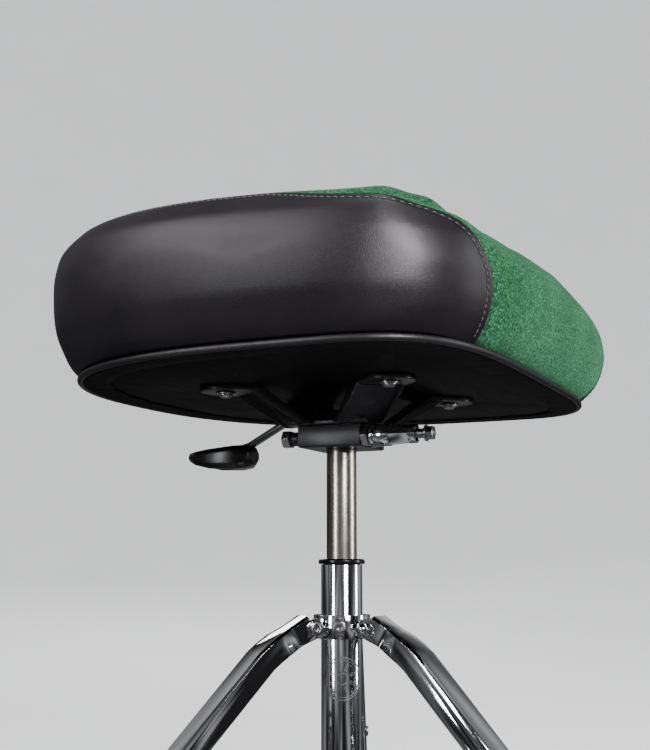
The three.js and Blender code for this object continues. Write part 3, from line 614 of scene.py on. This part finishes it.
def make_band():
    strip = [0, 0.25, 0.7, 1.3, 2.4, 3.8, 4.9, 5.5, 6.0, 6.5, 7.1, 8.2, 10, 12.5, 16]
    rows, dist = [], []
    for e in strip:
        rows.append(HEM + HEM_N * e)
        dist.append(np.full(len(HEM), float(e)))
    inner = rows[-1]
    K = 34
    foot_a = inner[:, 0].copy()
    n = len(foot_a)
    # near each end the columns fan out along the skirt
    i_full = int(np.argmax(ROUND / 2 - HEM[:, 0] > 225))
    lo, hi = inner[0, 0], inner[i_full, 0]
    foot_a[:i_full + 1] = lo + (hi - lo) * np.linspace(0, 1, i_full + 1)
    foot_a[n - i_full - 1:] = -foot_a[:i_full + 1][::-1]
    foot = np.stack([foot_a, np.full(n, 0.0)], 1)
    for k in range(1, K + 1):
        w = k / K
        q = inner * (1 - w) + foot * w
        rows.append(q)
        dist.append(strip[-1] + np.hypot(*(q - inner).T))
    rows, dist = np.array(rows), np.array(dist)
    rows[..., 1] = np.clip(rows[..., 1], -1.0, None)
    a, b = rows[..., 0], np.maximum(rows[..., 1], 0)
    # puckers between the stitches of the hem
    s = np.arange(n) * HEM_STEP
    puck = 0.10 * np.cos(2 * np.pi * s / STITCH_PITCH)[None, :] * np.exp(-((dist - STITCH_IN) / 3.0) ** 2)
    outer, nor = cheek(a, b, band_offset(dist) + puck)
    inner_v, _ = cheek(a, b, np.full_like(a, -1.3))
    outer, inner_v = swollen(outer, a, b), swollen(inner_v, a, b)
    v = np.concatenate([outer.reshape(-1, 3), inner_v.reshape(-1, 3)])
    R = len(rows)
    f = grid_faces(R, n)
    m = R * n
    f += [tuple(m + i for i in reversed(q)) for q in grid_faces(R, n)]
    for j in range(n - 1):
        f.append((j + 1, j, m + j, m + j + 1))
        e = (R - 1) * n + j
        f.append((e, e + 1, m + e + 1, m + e))
    for i in range(R - 1):
        p, q = i * n, (i + 1) * n
        f.append((p, q, m + q, m + p))
        f.append((q + n - 1, p + n - 1, m + p + n - 1, m + q + n - 1))
    return outward(new_object("side_panel", v, f))


band = make_band()
finish_with(band, "vinyl")
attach(band, "seat")
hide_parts("side_band")


def bead(centre, tangent, normal, length, wide, high, seg=8, rings=5):
    """One stitch: a little bow of thread whose ends dip into the cover."""
    t = np.array(tangent) / np.linalg.norm(tangent)
    n = np.array(normal) - t * np.dot(normal, t)
    n /= np.linalg.norm(n)
    s = np.cross(t, n)
    v = []
    for i in range(rings):
        u = -1 + 2 * i / (rings - 1)
        r = math.sqrt(max(0.06, 1 - abs(u) ** 2.6))
        c = np.array(centre) + t * u * length / 2 + n * (high * 0.55 * (1 - u * u) - high * 0.25)
        for k in range(seg):
            w = 2 * math.pi * k / seg
            v.append(c + s * math.cos(w) * wide / 2 * r + n * math.sin(w) * high / 2 * r)
    f = grid_faces(rings, seg, wrap_cols=True)
    f += [tuple(reversed(range(seg))), tuple(range((rings - 1) * seg, rings * seg))]
    return v, f


def stitches(name, path_a, path_b, out, pitch, length, wide, high):
    p = resample(np.stack([path_a, path_b], 1), pitch)
    c, n = cheek(p[:, 0], p[:, 1], np.full(len(p), out))
    c = swollen(c, p[:, 0], p[:, 1])
    t = np.gradient(c, axis=0)
    v, f = [], []
    for i in range(1, len(p) - 1):
        bv, bf = bead(c[i], t[i], n[i], length, wide, high)
        f += [tuple(len(v) + k for k in q) for q in bf]
        v += bv
    return outward(new_object(name, v, f))


line = HEM + HEM_N * STITCH_IN
keep = line[:, 1] > 1.0
thread = stitches("hem_stitching", line[keep, 0], line[keep, 1],
                  float(band_offset(np.array(STITCH_IN))) + 0.35, STITCH_PITCH, 3.9, 1.25, 1.0)
g = Graph("thread", Roughness=0.5, Specular_IOR_Level=0.5, Sheen_Weight=0.2)
tw = g.noise(1800, 2)
g.set(Base_Color=g.ramp(tw, (0.3, (0.018, 0.016, 0.018)), (0.7, (0.05, 0.046, 0.05))),
      Normal=g.bump(tw, 0.0001, 0.6))
MAT["thread"] = g.mat
finish_with(thread, MAT["thread"])
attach(thread, "seat")


def make_piping():
    """Welt: a covered cord with its seam allowance running up under the cover."""
    n, seg = 520, 16
    a = np.arange(n) / n * ROUND
    x, y, nx, ny = plan(a)
    r = PIPE_R + 0.05 * np.sin(a * 0.9) + 0.05 * np.sin(a * 0.37 + 1)
    w = np.arange(seg) / seg * 2 * np.pi
    cx, cy, cz = x + nx * 0.8, y + ny * 0.8, SKIRT_Z - 0.3 - PIPE_R
    R = r[:, None] * np.ones(seg)
    dx, dz = np.cos(w) * R, np.sin(w) * R
    v = np.stack([cx[:, None] + nx[:, None] * dx, cy[:, None] + ny[:, None] * dx, cz + dz], -1)
    return outward(new_object("seat_welt", v.reshape(-1, 3), grid_faces(n, seg, True, True)))


welt = make_piping()
MAT["lining"] = make_vinyl("lining", (0.0035, 0.0033, 0.0036), 0.62)
MAT["lining"].node_tree.nodes["Principled BSDF"].inputs["Specular IOR Level"].default_value = 0.14
MAT["welt"] = make_vinyl("welt_vinyl", (0.008, 0.0072, 0.0082), 0.40)
finish_with(welt, MAT["welt"])
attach(welt, "seat")
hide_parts("seat_piping")


def make_under_trim():
    """Edge of the cover, turned under the board."""
    n = 520
    a = np.arange(n) / n * ROUND
    x, y, nx, ny = plan(a)
    tuck = 0.22 * np.sin(a * 0.31) * np.sin(a * 0.083 + 0.7)
    wide = 27 + 1.6 * np.sin(a * 0.021) + 0.8 * np.sin(a * 0.13)
    rows = [(1.4, -0.15), (1.2, -0.75), (4, -1.15), (10, -1.05), (18, -0.95), (None, -0.85), (None, -0.2),
            (18, -0.18), (8, -0.16)]
    v = []
    for inn, dz in rows:
        w = wide if inn is None else inn
        z = BOARD_Z + dz + (tuck if dz < -0.7 else 0) * np.ones(n) * (0.35 if inn == 1.2 else 1)
        v.append(np.stack([x - nx * w, y - ny * w, z + np.zeros(n)], -1))
    ob = outward(new_object("cover_margin", np.array(v).reshape(-1, 3), grid_faces(len(rows), n, True, True)))
    finish_with(ob, MAT["lining"])
    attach(ob, "seat")


make_under_trim()

# ---------------------------------------------------------------- hardware carried over, with eased edges
SHARP = math.radians(32)


def eased(node, name, material, width=0.4, segments=2):
    """A CAD node's form with its edges rounded; it rides where the node rides and stands for it."""
    src = nodes[node]
    me = src.data.copy()
    me.name = name
    ob = bpy.data.objects.new(name, me)
    bpy.context.scene.collection.objects.link(ob)
    bm = bmesh.new()
    bm.from_mesh(me)
    bmesh.ops.remove_doubles(bm, verts=bm.verts, dist=2e-6)
    bmesh.ops.dissolve_limit(bm, angle_limit=math.radians(1.5), verts=bm.verts, edges=bm.edges)
    bm.to_mesh(me)
    bm.free()
    me.polygons.foreach_set("use_smooth", [True] * len(me.polygons))
    if width:
        b = ob.modifiers.new("b", "BEVEL")
        b.width, b.segments, b.limit_method, b.angle_limit = width * MM, segments, "ANGLE", SHARP
        b.harden_normals = False
        b.use_clamp_overlap = True
        apply_mods(ob)
    ob.data.polygons.foreach_set("use_smooth", [True] * len(ob.data.polygons))
    sharp_by_angle(ob, 40)
    finish_with(ob, material)
    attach(ob, src["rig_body"])
    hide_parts(node)
    return ob


KIND = {
    "spider_bracket": ("spider", "black_paint", 0.5), "hub_block": ("hub", "black_paint", 1.4),
    "tension_bolt": ("through_bolt", "steel", 0.3), "tension_spacer": ("bolt_spacer", "black_paint", 0.3),
    "tension_lock_nut": ("bolt_lock_nut", "steel", 0.5), "adjuster_ring": ("ring_washer", "chrome", 0.5),
    "adjuster_sleeve": ("sleeve", "chrome", 0.5), "adjuster_end_nut": ("end_nut", "steel", 0.4),
    "lever_pin": ("lever_pivot", "steel", 0.3), "lever_arm": ("lever_bar", "black_paint", 0.8),
    "lever_paddle": ("paddle", "plastic", 1.2), "gas_cylinder": ("column_tube", "nickel", 0.3),
    "rod_gland": ("gland", "steel", 0.3), "release_button": ("button", "steel", 0.3),
    "piston_rod": ("rod", "steel", 0.3), "base_tube": ("main_tube", "chrome", 0.3),
    "tube_bushing": ("bushing", "plastic", 0.3), "tube_end_cap": ("end_cap", "plastic", 0.3),
    "rod_nut": ("rod_lock_nut", "steel", 0.3), "upper_collar": ("leg_collar", "chrome", 0.5),
    "collar_clamp_screw": ("clamp_screw", "steel", 0.3), "lower_collar": ("brace_collar", "chrome", 0.5),
    "lower_collar_screw": ("lower_clamp_screw", "steel", 0.3), "seat_board": ("board_panel", "board", 0.6),
}
for tag in ("front_right", "front_left", "rear_left", "rear_right"):
    KIND[f"tee_nut_{tag}"] = (f"tee_{tag}", "steel", 0.2)
    KIND[f"bracket_screw_{tag}"] = (f"screw_{tag}", "steel", 0.25)
for k in (1, 2, 3):
    KIND.update({f"leg_{k}": (f"leg_channel_{k}", "chrome", 0.45), f"foot_{k}": (f"boot_{k}", "rubber", 1.0),
                 f"leg_bolt_{k}": (f"leg_pivot_{k}", "steel", 0.35),
                 f"leg_cap_nut_{k}": (f"leg_dome_{k}", "chrome", 0.3),
                 f"brace_{k}": (f"strut_{k}", "chrome", 0.4),
                 f"brace_rivet_{k}": (f"strut_rivet_{k}", "steel", 0.5),
                 f"brace_pin_{k}": (f"strut_pin_{k}", "steel", 0.5)})
hardware = {node: eased(node, name, material, width) for node, (name, material, width) in KIND.items()}


def widen_sleeve():
    """Easy running fit of the sleeve round its bolt."""
    for v in hardware["adjuster_sleeve"].data.vertices:
        x, z = v.co.x / MM - BOLT_X, v.co.z / MM - BOLT_Z
        r = math.hypot(x, z)
        if r < SLEEVE_BORE + 0.15:
            v.co.x = (x / r * SLEEVE_BORE + BOLT_X) * MM
            v.co.z = (z / r * SLEEVE_BORE + BOLT_Z) * MM


widen_sleeve()


def thread_turns():
    """Screw thread that shows between the sleeve and the end nut."""
    prof, z = [(3.2, 83.6)], 83.7
    while z < 91.4:
        prof += [(3.95, z), (4.42, z + 0.45), (4.42, z + 0.62), (3.95, z + 1.1)]
        z += 1.25
    prof += [(3.2, z)]
    ob = lathe("bolt_thread", prof, 40, (BOLT_X, 0, BOLT_Z), "y")
    sharp_by_angle(ob, 25)
    finish_with(ob, "steel")
    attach(ob, "seat")


def weld(name, start, end, r=1.5):
    """Rippled bead of weld between two points."""
    p, q = np.array(start, float), np.array(end, float)
    n, seg = 40, 10
    t = (q - p) / np.linalg.norm(q - p)
    s1 = np.cross(t, (0, 0, 1.0))
    v = []
    for i in range(n):
        u = i / (n - 1)
        k = r * (1 + 0.13 * math.sin(i * 1.25)) * math.sqrt(max(0.03, 1 - abs(2 * u - 1) ** 6))
        c = p + (q - p) * u
        for j in range(seg):
            w = 2 * math.pi * j / seg
            v.append(c + s1 * math.cos(w) * k + np.array((0, 0, 1.0)) * math.sin(w) * k)
    f = grid_faces(n, seg, wrap_cols=True)
    f += [tuple(reversed(range(seg))), tuple(range((n - 1) * seg, n * seg))]
    ob = outward(new_object(name, v, f))
    finish_with(ob, "black_paint")
    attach(ob, "seat")


def tube_mark():
    """Plain round mark of rings and bars on the tube, wrapped to its curve."""
    z0, face = 158.5, math.radians(204.6)            # height of its middle, and the way it faces
    v, f = [], []

    def on_tube(p, h):
        th = face + p[0] / TUBE_R
        return ((TUBE_R + h) * math.cos(th), (TUBE_R + h) * math.sin(th), z0 + p[1])

    def slab(loop_out, loop_in):
        n, base = len(loop_out), len(v)
        for h, loop in ((-0.1, loop_out), (0.10, loop_out), (0.10, loop_in), (-0.1, loop_in)):
            v.extend(on_tube(p, h) for p in loop)
        f.extend(tuple(base + i for i in q) for q in grid_faces(4, n, True, True))

    def circle(r, n=72):
        return [(r * math.cos(2 * math.pi * k / n), r * math.sin(2 * math.pi * k / n)) for k in range(n)]

    def bar(turn, h, a0, a1, m=10):
        c, s = math.cos(turn), math.sin(turn)
        out = []
        for i in range(4 * m):
            e, u = divmod(i, m)
            u /= m
            x, y = [(a0 + (a1 - a0) * u, -h), (a1, -h + 2 * h * u),
                    (a1 + (a0 - a1) * u, h), (a0, h - 2 * h * u)][e]
            out.append((x * c - y * s, x * s + y * c))
        return out

    for outer, inner in ((19.2, 17.9), (16.6, 16.0), (5.6, 4.4)):
        slab(circle(outer), circle(inner))
    for k in range(8):
        turn = math.pi * (k + 0.5) / 4
        slab(bar(turn, 1.15, 7.2, 14.4), bar(turn, 0.45, 8.0, 13.6))
    ob = outward(new_object("tube_mark", v, f))
    sharp_by_angle(ob, 30)
    finish_with(ob, MAT["etched"])
    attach(ob, "base")


thread_turns()
tube_mark()
for side, x in (("right", -WELD_X), ("left", WELD_X)):
    weld(f"weld_{side}", (x, -27, WELD_Z), (x, -10, WELD_Z))
for side, y in (("front", -WELD_Y), ("rear", WELD_Y)):
    weld(f"weld_{side}", (-20, y, WELD_Z), (20, y, WELD_Z))


# ---------------------------------------------------------------- studio
def cyclorama():
    """Round pale stage: a floor that sweeps up to a wall on every side."""
    prof = [(0.001, 0)] + [(r, 0) for r in (0.5, 1.0, 1.5)]
    prof += [(1.5 + 5.0 * math.sin(t), 5.0 - 5.0 * math.cos(t)) for t in np.linspace(0.05, math.pi / 2, 30)]
    prof += [(6.5, 6.5)]
    seg = 96
    v = [(r * math.cos(2 * math.pi * k / seg), r * math.sin(2 * math.pi * k / seg), z)
         for r, z in prof for k in range(seg)]
    ob = new_object("stage_floor", v, grid_faces(len(prof), seg, wrap_cols=True), scale=1)
    g = Graph("stage_paper", Roughness=0.9, Specular_IOR_Level=0.1, Emission_Color=(0.9, 0.9, 0.91, 1),
              Emission_Strength=0.22)
    g.set(Base_Color=g.mix(g.noise(3, 2), (0.74, 0.74, 0.745), (0.78, 0.78, 0.785)))
    ob.data.materials.append(g.mat)
    ob.visible_glossy = False                        # polished metal mirrors a dark room


cyclorama()


def area(name, loc, target, size, power, colour=(1, 1, 1)):
    li = bpy.data.lights.new(name, "AREA")
    li.shape, li.size, li.size_y = "RECTANGLE", size[0], size[1]
    li.energy, li.color, li.spread = power, colour, math.pi
    ob = bpy.data.objects.new(name, li)
    bpy.context.scene.collection.objects.link(ob)
    ob.location = loc
    ob.rotation_mode = "QUATERNION"
    ob.rotation_quaternion = (Vector(target) - Vector(loc)).to_track_quat("-Z", "Y")
    return ob


area("key", (-1.6, -1.8, 1.3), (0, 0, 0.47), (0.7, 1.2), 40, (1.0, 0.985, 0.99))
area("left", (-1.85, 0.85, 0.75), (0, 0, 0.4), (0.34, 1.4), 13, (0.97, 0.98, 1.0))
area("top", (-0.3, -0.5, 2.6), (0, 0, 0.3), (1.4, 1.4), 22)
area("right", (0.75, -1.7, 0.75), (0, 0, 0.4), (0.3, 1.4), 13)
area("back", (1.9, 1.3, 1.5), (0, 0, 0.4), (1.0, 1.2), 12)
# two soft lights that only the vinyl catches, for its broad sheen
satin = bpy.data.collections.new("satin")
for ob in (band, welt, thread):
    satin.objects.link(ob)
for name, loc, size, power in (("sheen_front", (-1.7, -1.55, 0.75), (0.85, 1.3), 85),
                               ("sheen_side", (-1.5, 1.2, 1.6), (1.4, 0.9), 26)):
    li = area(name, loc, (0, 0, 0.5), size, power, (1.0, 0.96, 1.0))
    li.light_linking.receiver_collection = satin
world = bpy.data.worlds.new("studio")
bpy.context.scene.world = world
world.use_nodes = True
wt = world.node_tree
even = wt.nodes["Background"]
even.inputs[0].default_value, even.inputs[1].default_value = (0.86, 0.88, 0.9, 1), 0.5
# what polished metal mirrors: a dim room with a few pale patches
room, room_ramp = wt.nodes.new("ShaderNodeTexNoise"), wt.nodes.new("ShaderNodeValToRGB")
room.inputs["Scale"].default_value, room.inputs["Detail"].default_value = 2.1, 1.0
wt.links.new(wt.nodes.new("ShaderNodeTexCoord").outputs["Generated"], room.inputs["Vector"])
wt.links.new(room.outputs["Fac"], room_ramp.inputs["Fac"])
for e, (p, c) in zip((room_ramp.color_ramp.elements[0], room_ramp.color_ramp.elements[1],
                      room_ramp.color_ramp.elements.new(0.5)), ((0.36, 0.03), (0.66, 1.0), (0.5, 0.14))):
    e.position, e.color = p, (c, c, c * 1.04, 1)
dim = wt.nodes.new("ShaderNodeBackground")
wt.links.new(room_ramp.outputs["Color"], dim.inputs[0])
dim.inputs[1].default_value = 0.85
pick, path = wt.nodes.new("ShaderNodeMixShader"), wt.nodes.new("ShaderNodeLightPath")
wt.links.new(path.outputs["Is Glossy Ray"], pick.inputs[0])
wt.links.new(even.outputs[0], pick.inputs[1])
wt.links.new(dim.outputs[0], pick.inputs[2])
wt.links.new(pick.outputs[0], wt.nodes["World Output"].inputs["Surface"])
bpy.context.scene.view_settings.view_transform = "AgX"
bpy.context.scene.view_settings.look = "AgX - Medium High Contrast"

# ---------------------------------------------------------------- camera
YAW, PITCH = math.radians(24.61), math.radians(9.07)
cam = bpy.data.objects.new("camera", bpy.data.cameras.new("camera"))
bpy.context.scene.collection.objects.link(cam)
bpy.context.scene.camera = cam
ahead = Vector((math.cos(YAW), math.sin(YAW), 0))
right = Vector((math.sin(YAW), -math.cos(YAW), 0))
cam.location = -1.1244 * ahead - 0.0155 * right + Vector((0, 0, 0.258))
look = ahead * math.cos(PITCH) + Vector((0, 0, math.sin(PITCH)))
cam.rotation_mode = "QUATERNION"
cam.rotation_quaternion = look.to_track_quat("-Z", "Y")
cam.data.sensor_fit = "AUTO"
cam.data.sensor_width = 36
cam.data.lens = 57.6
